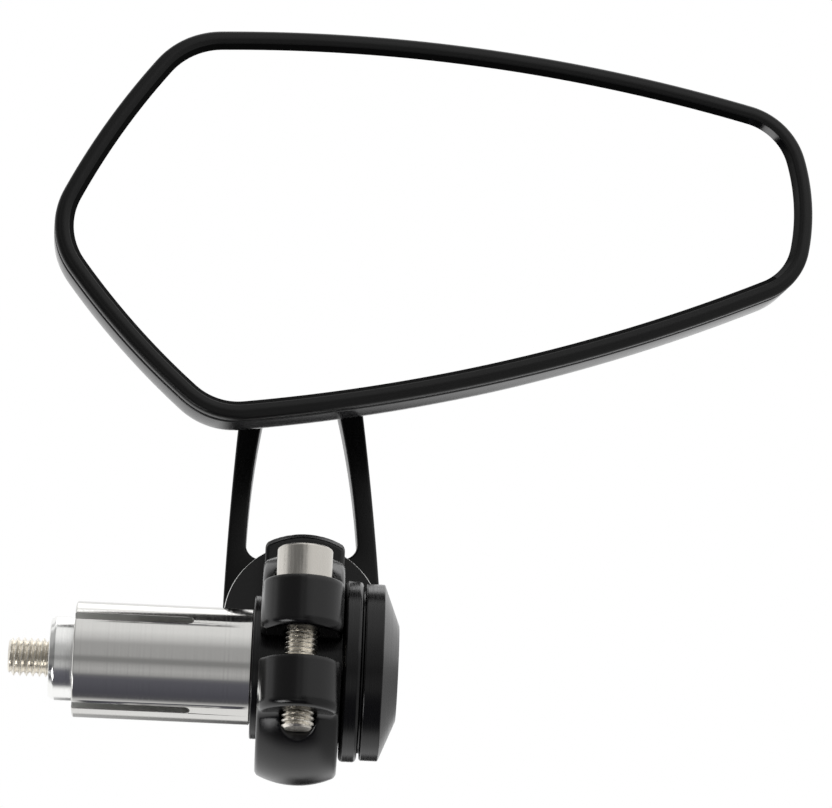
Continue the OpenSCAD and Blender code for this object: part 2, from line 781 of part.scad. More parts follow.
module mirror_glass() {
  color([0.92, 0.94, 0.95]) at_head() slab_y(glass_y, glass_back_y)
    polygon(head_outline(rim_w - glass_lap + loose_fit));
}

// Foam pad that bonds the glass to the retainer
module glass_pad() {
  color([0.15, 0.15, 0.15]) at_head() pin_y(pad_r, glass_back_y, pad_back_y);
}

collet();
expander_cone();
expander_bolt();
bolt_washer();
hub_spool();
end_cap();
clamp_ring();
clamp_screw();
friction_disc();
pivot_screw();
pivot_washer();
arm_fork();
ball_stud();
stud_washer();
stud_nut();
ball_liner();
housing();
bezel();
mirror_glass();
glass_pad();
socket_cup();
socket_retainer();
retainer_screws();
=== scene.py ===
# %% [markdown]
# # A motorcycle bar end mirror, dressed for its photograph
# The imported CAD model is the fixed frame: every solid is at its real size and in its real place.
# This notebook gives each of them a finish. Where a solid's edges or threads are plainer than the real ones,
# it builds a finer mesh of the same size that stands for the solid.

import json
import math

import bmesh
import bpy
import numpy as np
from mathutils import Matrix, Vector


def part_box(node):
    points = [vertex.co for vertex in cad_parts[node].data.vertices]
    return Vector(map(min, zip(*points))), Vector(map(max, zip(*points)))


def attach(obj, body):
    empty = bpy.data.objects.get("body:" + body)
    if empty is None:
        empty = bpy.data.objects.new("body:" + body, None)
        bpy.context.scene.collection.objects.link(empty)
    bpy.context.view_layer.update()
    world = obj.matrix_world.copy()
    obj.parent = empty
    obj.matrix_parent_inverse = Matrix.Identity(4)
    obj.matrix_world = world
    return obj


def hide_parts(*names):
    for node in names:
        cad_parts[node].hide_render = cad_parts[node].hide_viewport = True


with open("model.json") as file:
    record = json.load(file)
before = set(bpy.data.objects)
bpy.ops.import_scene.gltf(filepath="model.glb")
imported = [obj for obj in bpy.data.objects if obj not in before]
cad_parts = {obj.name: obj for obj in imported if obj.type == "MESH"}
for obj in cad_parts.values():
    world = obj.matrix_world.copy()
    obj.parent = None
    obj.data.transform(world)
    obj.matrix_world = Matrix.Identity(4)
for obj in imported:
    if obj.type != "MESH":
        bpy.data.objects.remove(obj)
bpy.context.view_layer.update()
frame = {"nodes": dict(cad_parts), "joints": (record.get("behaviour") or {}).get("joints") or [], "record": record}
nodes = frame["nodes"]
MM = 0.001
bodies = frame["record"]["behaviour"]["bodies"]
body_of = {node: body for body, members in bodies.items() for node in members}
pin_at = {joint["name"]: np.array(joint["pos_m"]) / MM for joint in frame["joints"]}
print("bodies:", sorted(bodies))
print("solids:", len(nodes))

# %% [markdown]
# ## Camera
# The photograph looks slightly up at the mirror from about arm's length, with a long lens, so that the
# parallel edges of the clamp hardly run together. One way is to place the camera by eye. Here it is aimed at
# a point that was measured from the bar's end, and turned by three angles, which is easier to correct later.

# %% Camera
view_distance = 0.700
view_turn = math.radians(-1.5)
view_rise = math.radians(-16.5)
view_roll = math.radians(2.3)
aim_right = 25.4 * MM
aim_up = 40.8 * MM
picture_wide = 0.1290
sensor_wide = 36.0


def camera_axes(turn, rise, roll):
    """The camera's right, up and forward directions."""
    forward = Vector((-math.sin(turn) * math.cos(rise), math.cos(turn) * math.cos(rise), -math.sin(rise)))
    level = Vector((math.cos(turn), math.sin(turn), 0))
    top = level.cross(forward)
    right = math.cos(roll) * level + math.sin(roll) * top
    up = math.cos(roll) * top - math.sin(roll) * level
    return right, up, forward


right, up, forward = camera_axes(view_turn, view_rise, view_roll)
camera_data = bpy.data.cameras.new("camera")
camera_data.sensor_width = sensor_wide
camera_data.lens = sensor_wide * view_distance / picture_wide
camera_data.clip_start = 0.05
camera = bpy.data.objects.new("camera", camera_data)
turned = Matrix((right, up, -forward)).transposed().to_4x4()
aim = right * aim_right + up * aim_up
camera.matrix_world = Matrix.Translation(aim - forward * view_distance) @ turned
bpy.context.scene.collection.objects.link(camera)
bpy.context.scene.camera = camera
bpy.context.scene.view_settings.view_transform = "Standard"
print(f"lens {camera_data.lens:.1f} mm")

# %% [markdown]
# ## Helpers for nodes and colours
# Materials, the studio and the repeated shapes are all node trees. One function adds a node with its settings
# and its links, so that each tree reads as a short list. Colours are written as hex values, as a paint
# program shows them, and one function turns them to the linear values that a shader wants.

# %% Helpers for nodes and colours
def add(tree, kind, inputs=None, **settings):
    """Adds a node. inputs maps a socket's name or number to a value or to another node's output."""
    made = tree.nodes.new(kind)
    for key, value in settings.items():
        setattr(made, key, value)
    for key, value in (inputs or {}).items():
        if isinstance(value, bpy.types.NodeSocket):
            tree.links.new(value, made.inputs[key])
        else:
            made.inputs[key].default_value = value
    return made


def srgb(text):
    """Linear colour with alpha from a hex value such as #808080."""
    parts = [int(text[i:i + 2], 16) / 255 for i in (1, 3, 5)]
    return [c / 12.92 if c <= 0.04045 else ((c + 0.055) / 1.055) ** 2.4 for c in parts] + [1.0]


def calculate(tree, operation, first, second=0.0, third=0.0):
    """The result of one Math node."""
    return add(tree, "ShaderNodeMath", {0: first, 1: second, 2: third}, operation=operation).outputs[0]


def spread(tree, value, start, end, low=0.0, high=1.0):
    """Carries a value that runs from start to end over to the range from low to high."""
    return add(tree, "ShaderNodeMapRange", {0: value, 1: start, 2: end, 3: low, 4: high}).outputs[0]


def mix(tree, share, first, second):
    """A colour between two colours."""
    return add(tree, "ShaderNodeMixRGB", {0: share, 1: first, 2: second}).outputs[0]


def all_of(tree, shares):
    """The product of several shares, which is 1 only where all of them are 1."""
    total = shares[0]
    for share in shares[1:]:
        total = calculate(tree, "MULTIPLY", total, share)
    return total


print("mid grey is", [round(c, 3) for c in srgb("#808080")])

# %% [markdown]
# ## Studio
# Polished metal has hardly any colour of its own: it shows the room. The photographer's room can be read off
# the turned collet, which works like a rolled-up panorama: white behind and above, a grey room in front, a
# dark edge below the lens and a thin dark seam overhead. A picture of a studio could light the part, but a
# gradient that turns about the bar's axis says the same in a few stops. Black pieces need a darker room than
# that, so it is dimmed beside the middle in front. A white card fills the mirror, a pale one lights the right
# flanks, and a dark stand behind shades the head's side wall. The camera itself sees plain white.

# %% Studio
room_stops = [
    (-180, "#ffffff"), (-106, "#ffffff"), (-99, "#d4d4d4"), (-92, "#5c5c60"), (-80, "#56565e"),
    (-50, "#65656d"), (-44, "#75757a"), (-38, "#b4b4b4"), (-30, "#c2c2c2"), (-20, "#b2b2b2"),
    (-14, "#929292"), (-8, "#929292"), (-2, "#b5b5b5"), (22, "#b5b5b5"), (34, "#dddddd"),
    (50, "#f8f8f8"), (100, "#ffffff"), (105, "#8c8c8c"), (109, "#8c8c8c"), (114, "#f8f8f8"), (180, "#ffffff"),
]
# Where things stand, as parts of a direction of length 1: across, back and up
front_from, front_to = -0.05, 0.10
dim_middle = -0.03
dim_from, dim_to = 0.05, 0.13
dim_left_from, dim_left_to = -0.97, -0.93
dim_share = 0.42
flank_from, flank_to = 0.30, 0.42
flank_grey = "#b4b4b4"
card_from, card_to = 0.11, 0.15
card_low, card_high = math.sin(math.radians(11)), math.sin(math.radians(14))
card_white = "#ffffff"
stand_left_from, stand_left_to = -0.10, 0.0
stand_right_from, stand_right_to = 0.22, 0.105
stand_top_from, stand_top_to = 0.02, -0.04
stand_foot_from, stand_foot_to = -0.55, -0.45
stand_behind = 0.5
stand_grey = "#303030"


def room_tone(tree, turn):
    """The tone of the room for each angle about the bar's axis."""
    ramp = add(tree, "ShaderNodeValToRGB", {0: spread(tree, turn, -math.pi, math.pi)})
    stops = ramp.color_ramp.elements
    while len(stops) < len(room_stops):
        stops.new(1.0)
    for stop, (angle, colour) in zip(stops, room_stops):
        stop.position = (angle + 180) / 360
        stop.color = srgb(colour)
    return ramp.outputs["Color"]


def make_studio():
    """The room as a world. The camera sees it plain white."""
    world = bpy.data.worlds.new("studio")
    world.use_nodes = True
    tree = world.node_tree
    tree.nodes.clear()
    way = add(tree, "ShaderNodeTexCoord").outputs["Generated"]
    across, back, height = add(tree, "ShaderNodeSeparateXYZ", {0: way}).outputs
    front = calculate(tree, "MULTIPLY", back, -1.0)
    off_middle = calculate(tree, "ABSOLUTE", calculate(tree, "SUBTRACT", across, dim_middle))
    dim = all_of(tree, [
        spread(tree, off_middle, dim_from, dim_to),
        spread(tree, front, front_from, front_to),
        spread(tree, across, dim_left_from, dim_left_to),
    ])
    flank = spread(tree, across, flank_from, flank_to)
    card = all_of(tree, [
        spread(tree, across, card_from, card_to),
        spread(tree, height, card_low, card_high),
    ])
    stand = all_of(tree, [
        spread(tree, across, stand_right_from, stand_right_to),
        spread(tree, across, stand_left_from, stand_left_to),
        spread(tree, height, stand_top_from, stand_top_to),
        spread(tree, height, stand_foot_from, stand_foot_to),
        calculate(tree, "GREATER_THAN", back, stand_behind),
    ])
    tone = room_tone(tree, calculate(tree, "ARCTAN2", height, front))
    keep = spread(tree, dim, 0.0, 1.0, 1.0, dim_share)
    tone = add(tree, "ShaderNodeVectorMath", {0: tone, "Scale": keep}, operation="SCALE").outputs[0]
    tone = mix(tree, flank, tone, srgb(flank_grey))
    tone = mix(tree, card, tone, srgb(card_white))
    tone = mix(tree, stand, tone, srgb(stand_grey))
    room = add(tree, "ShaderNodeBackground", {"Color": tone}).outputs[0]
    plain = add(tree, "ShaderNodeBackground", {"Color": srgb("#ffffff")}).outputs[0]
    for_camera = add(tree, "ShaderNodeLightPath").outputs["Is Camera Ray"]
    seen = add(tree, "ShaderNodeMixShader", {0: for_camera, 1: room, 2: plain}).outputs[0]
    add(tree, "ShaderNodeOutputWorld", {0: seen})
    return world


bpy.context.scene.world = make_studio()
print("room stops:", len(room_stops))


def softbox(name, place, aim_at, size, watts):
    """A square area lamp that looks at a point. Places and sizes are in metres."""
    lamp = bpy.data.lights.new(name, "AREA")
    lamp.shape = "SQUARE"
    lamp.size = size
    lamp.energy = watts
    box = bpy.data.objects.new(name, lamp)
    facing = (Vector(aim_at) - Vector(place)).to_track_quat("-Z", "Y").to_matrix().to_4x4()
    box.matrix_world = Matrix.Translation(place) @ facing
    bpy.context.scene.collection.objects.link(box)
    return box


clamp_middle = (0.007, -0.014, 0.0)
part_middle = (0.02, 0.0, 0.03)
lamps = [
    softbox("low_softbox", (-0.336, -0.228, -0.44), clamp_middle, size=0.26, watts=1.0),
    softbox("top_softbox", (0.10, 0.30, 0.80), part_middle, size=0.60, watts=1.0),
]
print("lamps:", len(lamps))

# %% [markdown]
# ## Helpers for finishes
# Each finish starts from the real material: what metal or plastic it is, and how its surface was made. A
# Principled shader carries the numbers that are the same all over. Two small patterns do the rest, each
# worked out from a real size: lathe rings that depend only on the way along and out from an axis, and a
# grain for blasted or moulded skins. It is drawn out along one axis where it shows drawn wire or milling.

# %% Helpers for finishes
noise_low, noise_high = 0.3, 0.7


def new_finish(name, colour, metallic, roughness):
    """A material with its tree, a Principled shader and Object coordinates."""
    material = bpy.data.materials.new(name)
    material.use_nodes = True
    tree = material.node_tree
    tree.nodes.clear()
    shader = add(tree, "ShaderNodeBsdfPrincipled", {
        "Base Color": srgb(colour), "Metallic": metallic, "Roughness": roughness})
    add(tree, "ShaderNodeOutputMaterial", {0: shader.outputs[0]})
    place = add(tree, "ShaderNodeTexCoord").outputs["Object"]
    return material, tree, shader, place


def grain(tree, place, grain_mm, squeeze=(1, 1, 1)):
    """A noise between 0 and 1 whose lumps are about grain_mm wide, drawn out where squeeze is below 1."""
    spot = add(tree, "ShaderNodeMapping", {"Vector": place, "Scale": squeeze}).outputs[0]
    sizes = {"Vector": spot, "Scale": 1 / (grain_mm * MM), "Detail": 2.0}
    return add(tree, "ShaderNodeTexNoise", sizes).outputs["Fac"]


def lathe_rings(tree, place, ring_mm):
    """A noise that only changes along the bar axis and away from it, as a cutting tool leaves it."""
    parts = add(tree, "ShaderNodeSeparateXYZ", {0: place}).outputs
    flat = add(tree, "ShaderNodeCombineXYZ", {1: parts[1], 2: parts[2]}).outputs[0]
    out = add(tree, "ShaderNodeVectorMath", {0: flat}, operation="LENGTH").outputs["Value"]
    way = calculate(tree, "ADD", parts[0], out)
    sizes = {"W": way, "Scale": 1 / (ring_mm * MM), "Detail": 2.0}
    return add(tree, "ShaderNodeTexNoise", sizes, noise_dimensions="1D").outputs["Fac"]


def bump(tree, shader, height, depth_mm):
    """Raises the surface by depth_mm where height is 1."""
    made = add(tree, "ShaderNodeBump", {"Height": height, "Distance": depth_mm * MM, "Strength": 1.0})
    tree.links.new(made.outputs[0], shader.inputs["Normal"])


def vary(tree, shader, socket, height, low, high):
    """Lets a shader's value run from low to high with a pattern."""
    value = spread(tree, height, noise_low, noise_high, low, high)
    tree.links.new(value, shader.inputs[socket])


def tint(tree, shader, height, dark, light):
    """Lets the base colour run between two colours with a pattern."""
    mixed = mix(tree, spread(tree, height, noise_low, noise_high), srgb(dark), srgb(light))
    tree.links.new(mixed, shader.inputs["Base Color"])


print("patterns: grain, lathe_rings")

# %% [markdown]
# ## Metals
# The collet is turned from aluminium and polished, and its cone is only turned. Both keep rings too fine to
# see one by one, which break up a reflection along the bar. The black pieces are aluminium too, blasted or
# turned and then anodised: the eye gets a satin sheen with a fine sparkle. Screws are stainless steel, warmer
# than aluminium. The clamp's has streaks along its axis from the wire that it was made of.

# %% Metals
def turned_aluminium():
    # Polished on the lathe: mirror bright, with rings that soften the room along the bar
    material, tree, shader, place = new_finish("turned_aluminium", "#d6d5d2", 1.0, 0.10)
    rings = lathe_rings(tree, place, 0.35)
    vary(tree, shader, "Roughness", rings, 0.07, 0.16)
    bump(tree, shader, rings, 0.0012)
    return material


def faced_aluminium():
    # The cone is turned with a fine feed and not polished: the bands of the room show in it a little softer
    material, tree, shader, place = new_finish("faced_aluminium", "#fbfbf9", 1.0, 0.20)
    rings = lathe_rings(tree, place, 0.25)
    vary(tree, shader, "Roughness", rings, 0.16, 0.24)
    bump(tree, shader, rings, 0.003)
    return material


def bored_aluminium():
    # Bored and sawn, never polished: a dull bright skin that carries some light down into the slots
    material, tree, shader, place = new_finish("bored_aluminium", "#f2f2f0", 1.0, 0.5)
    bump(tree, shader, lathe_rings(tree, place, 0.4), 0.01)
    return material


def black_anodised():
    # Bead blasted before anodising: an even satin with a very fine grain
    material, tree, shader, place = new_finish("black_anodised_aluminium", "#070607", 0.0, 0.24)
    skin = grain(tree, place, 0.18)
    vary(tree, shader, "Roughness", skin, 0.20, 0.27)
    bump(tree, shader, skin, 0.0025)
    return material


def black_turned():
    # Hub and cap keep their lathe rings under the anodising, so edges and faces shine a little more
    material, tree, shader, place = new_finish("black_anodised_turning", "#070607", 0.0, 0.24)
    rings = lathe_rings(tree, place, 0.22)
    vary(tree, shader, "Roughness", rings, 0.20, 0.30)
    bump(tree, shader, rings, 0.002)
    shader.inputs["Specular IOR Level"].default_value = 0.44
    return material


def black_milled():
    # The arm is milled from plate and anodised deep black: the camera sees hardly any reflection in its face
    material, tree, shader, place = new_finish("black_anodised_plate", "#050505", 0.0, 0.30)
    skin = grain(tree, place, 0.22, squeeze=(1, 1, 0.3))
    vary(tree, shader, "Roughness", skin, 0.26, 0.36)
    bump(tree, shader, skin, 0.002)
    shader.inputs["Specular IOR Level"].default_value = 0.30
    return material


def stainless_steel():
    # Drawn wire, cold headed: bright and warm, with fine streaks along the screw
    material, tree, shader, place = new_finish("stainless_steel", "#d6d1c8", 1.0, 0.22)
    streaks = grain(tree, place, 0.25, squeeze=(1, 1, 0.06))
    vary(tree, shader, "Roughness", streaks, 0.16, 0.30)
    tint(tree, shader, streaks, "#c9c5be", "#d8d4cd")
    bump(tree, shader, streaks, 0.0015)
    return material


def machined_steel():
    # Faces of the screws at the back: turned, without the streaks of drawn wire
    material, tree, shader, place = new_finish("machined_stainless_steel", "#cfcbc3", 1.0, 0.24)
    vary(tree, shader, "Roughness", grain(tree, place, 0.4), 0.20, 0.28)
    return material


def thread_steel():
    # Rolled threads: bright crests that have been burnished, warm grey flanks
    material, tree, shader, place = new_finish("rolled_steel_thread", "#f3eee4", 1.0, 0.30)
    skin = grain(tree, place, 0.15)
    vary(tree, shader, "Roughness", skin, 0.20, 0.34)
    bump(tree, shader, skin, 0.003)
    return material


def zinc_plate():
    # Bright zinc: bluish and a little cloudy
    material, tree, shader, place = new_finish("zinc_plated_steel", "#c3c8cc", 1.0, 0.26)
    cloud = grain(tree, place, 1.2)
    vary(tree, shader, "Roughness", cloud, 0.20, 0.34)
    tint(tree, shader, cloud, "#bfc4c8", "#c8cdd1")
    return material


metal_makers = (
    turned_aluminium, faced_aluminium, bored_aluminium, black_anodised, black_turned, black_milled,
    stainless_steel, machined_steel, thread_steel, zinc_plate,
)
metals = {make.__name__: make() for make in metal_makers}
print("metals:", len(metals))

# %% [markdown]
# ## Plastics and glass
# The shell and the rim are moulded ABS. A fine texture in the mould makes the rim satin, while the shell's
# side was left smoother, so that it mirrors the pale room at a grazing angle. The mirror itself is silvered
# glass: a perfect metal as far as a shader is concerned, with a trace of dust in its roughness. The lip that
# slopes down to the glass is given a deeper black than the rim.

# %% Plastics and glass
def satin_abs():
    # Spark-eroded mould: black, satin, with a grain of about a fifth of a millimetre
    material, tree, shader, place = new_finish("satin_moulded_abs", "#131313", 0.0, 0.34)
    skin = grain(tree, place, 0.20)
    vary(tree, shader, "Roughness", skin, 0.29, 0.40)
    bump(tree, shader, skin, 0.004)
    shader.inputs["Specular IOR Level"].default_value = 0.28
    return material


def smooth_abs():
    # Polished mould: the side wall mirrors the pale room at a grazing angle
    material, tree, shader, place = new_finish("smooth_moulded_abs", "#2a2a2b", 0.0, 0.16)
    skin = grain(tree, place, 0.35)
    vary(tree, shader, "Roughness", skin, 0.12, 0.20)
    bump(tree, shader, skin, 0.0015)
    shader.inputs["IOR"].default_value = 1.55
    return material


def silvered_glass():
    # Silver behind flat glass: it shows the white card and nothing else
    material, tree, shader, place = new_finish("silvered_glass", "#ffffff", 1.0, 0.01)
    vary(tree, shader, "Roughness", grain(tree, place, 2.5), 0.004, 0.016)
    return material


def matt_dark_lip():
    # The lip between rim and glass: darker than the rim, matt and deep black
    material, tree, shader, place = new_finish("matt_dark_lip", "#040404", 0.0, 0.7)
    shader.inputs["Specular IOR Level"].default_value = 0.12
    return material


def glossy_dark_lip():
    # The dark lip's last corner was wiped with a wet finger: as black, but glossy
    material, tree, shader, place = new_finish("glossy_dark_lip", "#040404", 0.0, 0.16)
    vary(tree, shader, "Roughness", grain(tree, place, 1.0), 0.12, 0.20)
    return material


def plain_acetal(name, colour):
    # Turned or moulded acetal: waxy, with a soft highlight
    material, tree, shader, place = new_finish(name, colour, 0.0, 0.38)
    vary(tree, shader, "Roughness", grain(tree, place, 0.6), 0.32, 0.44)
    return material


def foam_tape():
    # Closed-cell foam: dead matt, with cells of about half a millimetre
    material, tree, shader, place = new_finish("foam_tape", "#2a2a2a", 0.0, 0.9)
    bump(tree, shader, grain(tree, place, 0.5), 0.05)
    return material


plastics = {
    "satin_abs": satin_abs(), "smooth_abs": smooth_abs(), "glass": silvered_glass(),
    "foam": foam_tape(), "dark_lip": matt_dark_lip(), "wiped": glossy_dark_lip(),
    "white": plain_acetal("natural_acetal", "#e6e4dc"), "black": plain_acetal("black_acetal", "#161616"),
}
finish_of = {
    "collet": metals["turned_aluminium"], "expander_cone": metals["faced_aluminium"],
    "expander_bolt": metals["machined_steel"], "clamp_screw": metals["stainless_steel"],
    "retainer_screws": metals["machined_steel"], "pivot_screw": metals["machined_steel"],
    "bolt_washer": metals["zinc_plate"], "pivot_washer": metals["zinc_plate"],
    "ball_stud": metals["zinc_plate"], "stud_washer": metals["zinc_plate"], "stud_nut": metals["zinc_plate"],
    "hub_spool": metals["black_turned"], "end_cap": metals["black_turned"],
    "friction_disc": metals["black_anodised"], "clamp_ring": metals["black_anodised"],
    "arm_fork": metals["black_milled"], "housing": plastics["smooth_abs"], "bezel": plastics["satin_abs"],
    "mirror_glass": plastics["glass"], "glass_pad": plastics["foam"], "ball_liner": plastics["white"],
    "socket_cup": plastics["black"], "socket_retainer": plastics["black"],
}
for name, finish in finish_of.items():
    mesh = nodes[name].data
    mesh.materials.clear()
    mesh.materials.append(finish)
print("finishes on", len(finish_of), "solids")

# %% [markdown]
# ## Putting a finer piece in a solid's place
# A finer mesh rides on the body of the solid that it stands for and hides the plain solid. This is the same
# for every piece, so one function does it and counts the triangles.

# %% Putting a finer piece in a solid's place
crease = math.radians(38)


def stand_in(mesh, node, finish=None):
    """Puts a finished mesh, which is already in its place, where the node was."""
    if not mesh.materials:
        mesh.materials.append(None)
    mesh.materials[0] = finish or finish_of[node]
    if "custom_normal" not in mesh.attributes:
        mesh.polygons.foreach_set("use_smooth", [True] * len(mesh.polygons))
        mesh.set_sharp_from_angle(angle=crease)
    piece = bpy.data.objects.new(node + "_fine", mesh)
    bpy.context.scene.collection.objects.link(piece)
    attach(piece, body_of[node])
    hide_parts(node)
    print(piece.name, "triangles:", sum(len(face.vertices) - 2 for face in mesh.polygons))
    return piece


def plain_mesh(piece):
    """The evaluated mesh of an object with modifiers, which is then taken away."""
    graph = bpy.context.evaluated_depsgraph_get()
    mesh = bpy.data.meshes.new_from_object(piece.evaluated_get(graph))
    bpy.data.objects.remove(piece)
    return mesh


# %% [markdown]
# ## Machined pieces with broken edges
# No machined edge is a perfect corner: it catches a thin line of light. The solids have sharp corners, so
# each turned one is copied, its split faces are merged, and a Bevel modifier breaks the corners.
# Modelling each piece again would give the same shape with more code.

# %% Machined pieces with broken edges
break_from = math.radians(20)
broken_edge = {
    "hub_spool": 0.22, "end_cap": 0.20, "expander_cone": 0.20, "friction_disc": 0.22, "collet": 0.14,
    "pivot_screw": 0.20, "pivot_washer": 0.12, "bolt_washer": 0.10, "stud_washer": 0.15,
    "stud_nut": 0.25, "ball_stud": 0.15,
}
same_point = 0.002 * MM
same_plane = math.radians(0.05)


def merged_copy(node):
    """A copy of a solid's mesh with its split points joined and its flat faces whole."""
    shape = bmesh.new()
    shape.from_mesh(nodes[node].data)
    bmesh.ops.remove_doubles(shape, verts=shape.verts, dist=same_point)
    bmesh.ops.dissolve_limit(shape, angle_limit=same_plane, verts=shape.verts, edges=shape.edges)
    return shape


def with_broken_edges(shape, name, width):
    """Turns a bmesh into a mesh whose corners are rounded by width, in millimetres."""
    mesh = bpy.data.meshes.new(name)
    shape.to_mesh(mesh)
    shape.free()
    if "custom_normal" in mesh.attributes:
        mesh.attributes.remove(mesh.attributes["custom_normal"])
    mesh.polygons.foreach_set("use_smooth", [True] * len(mesh.polygons))
    piece = bpy.data.objects.new(name, mesh)
    bpy.context.scene.collection.objects.link(piece)
    bevel = piece.modifiers.new("edges", "BEVEL")
    bevel.width = width * MM
    bevel.segments = 3
    bevel.limit_method = "ANGLE"
    bevel.angle_limit = break_from
    bevel.use_clamp_overlap = True
    bevel.harden_normals = True
    return plain_mesh(piece)


fine = {}
for node, width in broken_edge.items():
    fine[node] = stand_in(with_broken_edges(merged_copy(node), node + "_fine", width), node)

# Painted highlight: the faces of the friction disc that turn forward are bare bright aluminium, standing in for
# light bands of reflection on its rim
highlight_facing_from, highlight_facing_to = -0.95, -0.2
disc = fine["friction_disc"].data
disc.materials.append(metals["faced_aluminium"])
painted_highlight_faces = [highlight_facing_from < face.normal.y < highlight_facing_to for face in disc.polygons]
disc.polygons.foreach_set("material_index", painted_highlight_faces)

# The collet's bore and saw cuts have their own, duller skin
sleeve = fine["collet"].data
sleeve.materials.append(metals["bored_aluminium"])
skin_r = 8.6
inner = [math.hypot(face.center.y, face.center.z) / MM < skin_r for face in sleeve.polygons]
sleeve.polygons.foreach_set("material_index", inner)
print("inner faces of the collet:", sum(inner))

# %% [markdown]
# ## The outline of head and arm
# The head is drawn as five round corners joined by five slightly bulged edges, and so are the arm and its
# window, with fewer corners. Tangent arcs make such a line smooth without any control points: each edge arc's
# middle lies where two circles meet. Moving every radius by the same inset gives an exact parallel line.

# %% The outline of head and arm
def meet(p, q, a, b):
    """The point at distance a from p and b from q, on the right of the way from p to q."""
    d = np.linalg.norm(q - p)
    u = (q - p) / d
    m = (a * a - b * b + d * d) / (2 * d)
    return p + u * m + np.array([u[1], -u[0]]) * math.sqrt(a * a - m * m)


def outline(corners, corner_radii, edge_radii, inset, corner_steps=24, edge_steps=40):
    """Points of a closed outline of tangent arcs, in millimetres, moved inwards by inset."""
    corners = [np.array(c, float) for c in corners]
    count = len(corners)
    middles = [
        meet(corners[i], corners[(i + 1) % count], edge_radii[i] - corner_radii[i],
             edge_radii[i] - corner_radii[(i + 1) % count])
        for i in range(count)
    ]
    angle = lambda v: math.atan2(v[1], v[0])
    below = lambda a, b: a - (a - b) % (2 * math.pi)
    points = []
    for i in range(count):
        start = angle(corners[i] - middles[i - 1])
        turn = below(start, angle(corners[i] - middles[i]))
        end = below(turn, angle(corners[(i + 1) % count] - middles[i]))
        for middle, radius, a, b, steps in (
                (corners[i], corner_radii[i], start, turn, corner_steps),
                (middles[i], edge_radii[i], turn, end, edge_steps)):
            t = a + (b - a) * np.arange(steps) / steps
            points.append(middle + (radius - inset) * np.stack([np.cos(t), np.sin(t)], axis=1))
    return np.concatenate(points)


def circle(middle, radius, steps=96):
    """Points of a circle, in millimetres."""
    t = -2 * math.pi * np.arange(steps) / steps
    return np.array(middle) + radius * np.stack([np.cos(t), np.sin(t)], axis=1)


def at_depth(points, depth):
    """Puts flat points in X and Z at a depth along Y."""
    return np.stack([points[:, 0], np.full(len(points), float(depth)), points[:, 1]], axis=1)


def strip(shape, rings, closed=False):
    """Joins rings of points with quads, and returns the rows of vertices."""
    rows = [[shape.verts.new(point) for point in ring] for ring in rings]
    pairs = list(zip(rows, rows[1:] + rows[:1])) if closed else list(zip(rows, rows[1:]))
    for low, high in pairs:
        for k in range(len(low)):
            n = (k + 1) % len(low)
            shape.faces.new((low[k], low[n], high[n], high[k]))
    return rows


def placed_mesh(shape, name, place):
    """Finishes a bmesh in millimetres: faces outwards, then moved and scaled to its place."""
    bmesh.ops.recalc_face_normals(shape, faces=shape.faces)
    shape.transform(Matrix.Scale(MM, 4) @ place)
    mesh = bpy.data.meshes.new(name)
    shape.to_mesh(mesh)
    shape.free()
    return mesh


print("outline points for five corners:", 5 * (24 + 40))

# %% [markdown]
# ## Rim and shell of the head
# The rim has a rounded outer edge, a slightly crowned face and a lip that slopes down to the glass. The shell
# behind it is a straight wall that runs into a dome. Both are lofts: one section, carried round the outline.
# A small round at both sides of the joint line gives the dark seam with a light line on each side.

# %% Rim and shell of the head
head_pan = math.radians(7)
head_at = Matrix.Translation(pin_at["mirror_pan"]) @ Matrix.Rotation(head_pan, 4, "Z")
head_corners = [(-28.1, 0.9), (-14.8, 20.8), (68, 19), (69.3, 8.4), (-11.3, -16.7)]
head_radii = [12.7, 14.2, 11.8, 11.1, 12.4]
head_edges = [126, 281, 35, 307, 123]
head_front = 13.0
bezel_h = 2.8
rim_w = 3.0
lip_w = 0.7
crest_r = 0.8
crown_h = 0.10
glass_in = 1.0
glass_lap = 0.5
seam_r = 0.2
groove_in = 0.30
groove_h = 1.2
wiped_from = (69.0, 2.0)
dark_lip_slot, wiped_slot = 1, 2
crown_steps = 8
shell_step = 0.1
side_h = 4.2
side_draft = 0.3
side_more = 1.6
deeper_from, deeper_over = -28.0, 60.0
shell_t = 1.8
dome_back = 6.8
neck_hole_r = 7.0
seam_y = bezel_h - head_front
groove_y = seam_y - groove_h
wall_y = seam_y + side_h
glass_y = glass_in - head_front


def head_outline(inset):
    return outline(head_corners, head_radii, head_edges, inset)


rim_line = head_outline(0)
neck_line = neck_hole_r * rim_line / np.linalg.norm(rim_line, axis=1, keepdims=True)


def head_ring(share, inset, depth):
    """One ring of the head: the outline, drawn in towards the neck hole by share."""
    return at_depth((1 - share) * head_outline(inset) + share * neck_line, depth)


def quarter(steps):
    """Angles of a quarter turn, both ends included."""
    return [math.pi / 2 * k / steps for k in range(steps + 1)]


